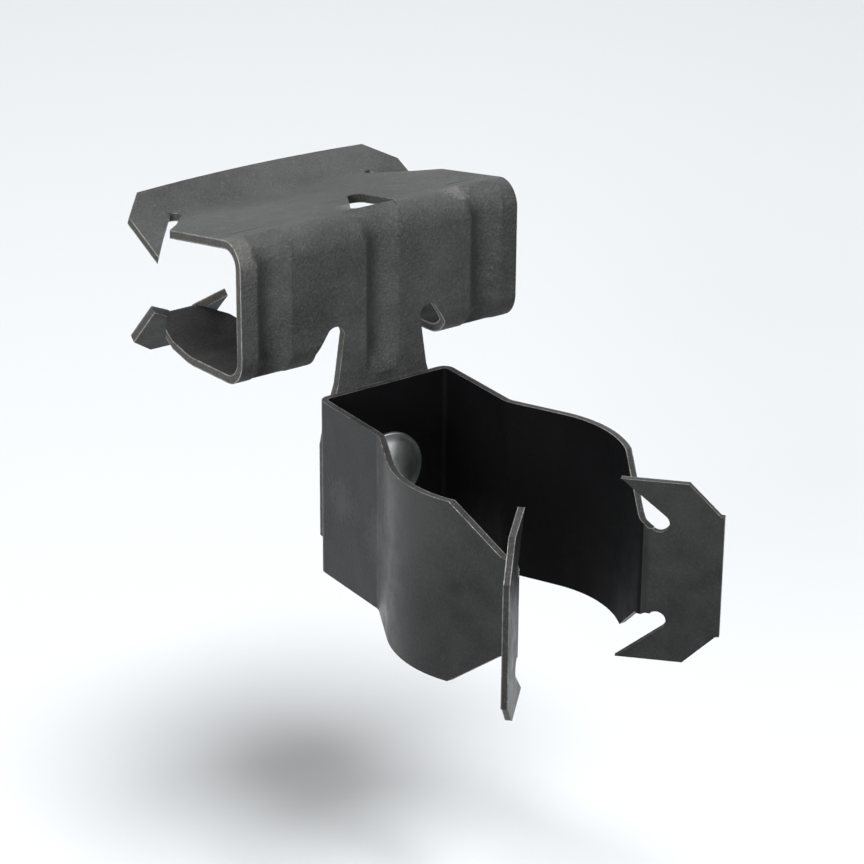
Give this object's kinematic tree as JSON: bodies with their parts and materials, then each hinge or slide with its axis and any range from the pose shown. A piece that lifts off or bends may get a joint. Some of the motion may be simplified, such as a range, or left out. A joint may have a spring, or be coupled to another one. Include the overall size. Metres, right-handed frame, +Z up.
{
  "type": "beam clamp conduit clip",
  "caption": "Hammer-on steel clamp for a horizontal beam flange with a snap-close conduit clip that swivels on a rivet below it.",
  "frame": {"origin": "centre of the conduit's seat, on the conduit's centre line at half the clip's height", "axes": "+Z up along the conduit, +Y towards the clamp's mouth, +X along the beam's edge"},
  "size_m": [0.0344, 0.067, 0.0382],
  "materials": {
    "flange_clip": "matte dark grey phosphate on spring steel",
    "conduit_clip": "matte near-black phosphate on spring steel",
    "rivet": "bright zinc plated steel"
  },
  "bodies": {
    "clamp": {"flange_clip": "flange_clip", "rivet": "rivet"},
    "clip": {"conduit_clip": "conduit_clip"}
  },
  "joints": [
    {"name": "clip_swivel", "type": "hinge", "parent": "clamp", "child": "clip", "pos_m": [0, 0.0227, 0], "axis": [0, -1, 0], "continuous": true}
  ]
}
